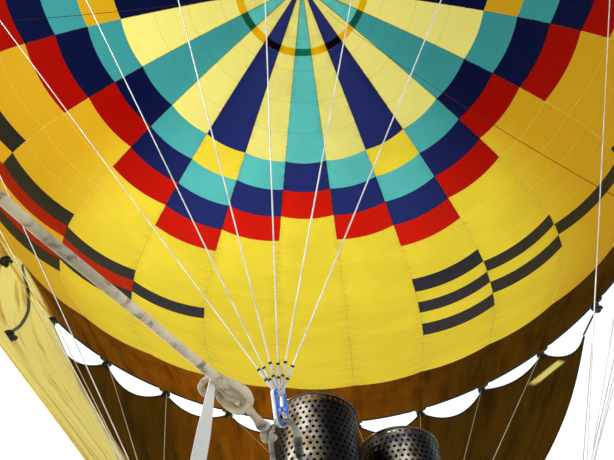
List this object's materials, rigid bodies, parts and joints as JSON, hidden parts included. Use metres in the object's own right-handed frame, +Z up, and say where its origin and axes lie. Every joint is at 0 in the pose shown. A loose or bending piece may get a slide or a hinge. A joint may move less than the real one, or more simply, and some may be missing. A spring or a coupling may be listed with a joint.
{
  "type": "hot air balloon",
  "caption": "Inflated hot air balloon with parachute valve, skirt, scoop, wire rigging, twin burner on a gimbal frame and a wicker basket.",
  "frame": {"origin": "on the balloon's vertical axis at the underside of the basket's runners", "axes": "+Z up along the axis, through the crown ring. +Y through the middle of gore_01. Azimuths run from +Y towards +X. The burner frame and basket are square with each other and turned 32 degrees about +Z: their long way runs along azimuth 58 degrees. They hang 0.031 m to +X and 0.05 m to -Y of the axis"},
  "size_m": [20.0892, 20.0892, 23.8173],
  "materials": {
    "gore_teal": "coated woven nylon, lets light through",
    "gore_yellow": "coated woven nylon, lets light through",
    "gore_navy": "coated woven nylon, lets a little light through",
    "valve_fabric": "coated woven nylon in 24 coloured sectors",
    "crown_metal": "satin",
    "skirt_fabric": "flame-proof woven cloth, matt",
    "scoop_fabric": "flame-proof woven cloth, matt",
    "corner_plate": "blue anodised",
    "carabiner": "polished steel",
    "flying_wire": "stranded stainless wire",
    "frame_steel": "brushed stainless tube",
    "burner_block": "dark, handled metal",
    "burner_can": "heat-tinted perforated sheet",
    "burner_coil": "heat-tinted tube",
    "basket_floor": "varnished board",
    "wicker": "varnished woven cane",
    "padding": "suede over foam",
    "cylinder": "brushed",
    "line": "tubular webbing"
  },
  "bodies": {
    "balloon": {"gore_01": "gore_teal", "gore_02": "gore_yellow", "gore_03": "gore_navy", "gore_04": "gore_yellow", "gore_05": "gore_teal", "gore_06": "gore_yellow", "gore_07": "gore_navy", "gore_08": "gore_yellow", "gore_09": "gore_teal", "gore_10": "gore_yellow", "gore_11": "gore_navy", "gore_12": "gore_yellow", "gore_13": "gore_teal", "gore_14": "gore_yellow", "gore_15": "gore_navy", "gore_16": "gore_yellow", "gore_17": "gore_teal", "gore_18": "gore_yellow", "gore_19": "gore_navy", "gore_20": "gore_yellow", "gore_21": "gore_teal", "gore_22": "gore_yellow", "gore_23": "gore_navy", "gore_24": "gore_yellow", "crown_ring": "crown_metal", "skirt": "skirt_fabric", "scoop": "scoop_fabric", "corner_plate_far": "corner_plate", "carabiner_far": "carabiner", "flying_wires_far": "flying_wire", "corner_plate_right": "corner_plate", "carabiner_right": "carabiner", "flying_wires_right": "flying_wire", "corner_plate_near": "corner_plate", "carabiner_near": "carabiner", "flying_wires_near": "flying_wire", "corner_plate_left": "corner_plate", "carabiner_left": "carabiner", "flying_wires_left": "flying_wire", "burner_frame": "frame_steel", "basket_floor": "basket_floor", "basket_wall": "wicker", "basket_rim": "padding", "upright_far": "padding", "fuel_cylinder_far": "cylinder", "upright_right": "padding", "fuel_cylinder_right": "cylinder", "upright_near": "padding", "fuel_cylinder_near": "cylinder", "upright_left": "padding", "fuel_cylinder_left": "cylinder", "crown_line": "line"},
    "gimbal": {"gimbal_frame": "frame_steel"},
    "burner": {"burner_block": "burner_block", "burner_can_1": "burner_can", "burner_can_2": "burner_can", "burner_coil_1": "burner_coil", "burner_coil_2": "burner_coil"},
    "parachute": {"parachute_valve": "valve_fabric"}
  },
  "joints": [
    {"name": "gimbal_tilt", "type": "hinge", "parent": "balloon", "child": "gimbal", "pos_m": [0.031, -0.05, 1.99], "axis": [-0.5299, 0.848, 0], "range_deg": [-20, 20]},
    {"name": "burner_tilt", "type": "hinge", "parent": "gimbal", "child": "burner", "pos_m": [0.031, -0.05, 1.99], "axis": [0.848, 0.5299, 0], "range_deg": [-20, 20]},
    {"name": "parachute_slide", "type": "slide", "parent": "balloon", "child": "parachute", "axis": [0, 0, -1], "range_m": [0, 1.5], "stiffness_N_per_m": 150, "springref_m": -1}
  ]
}
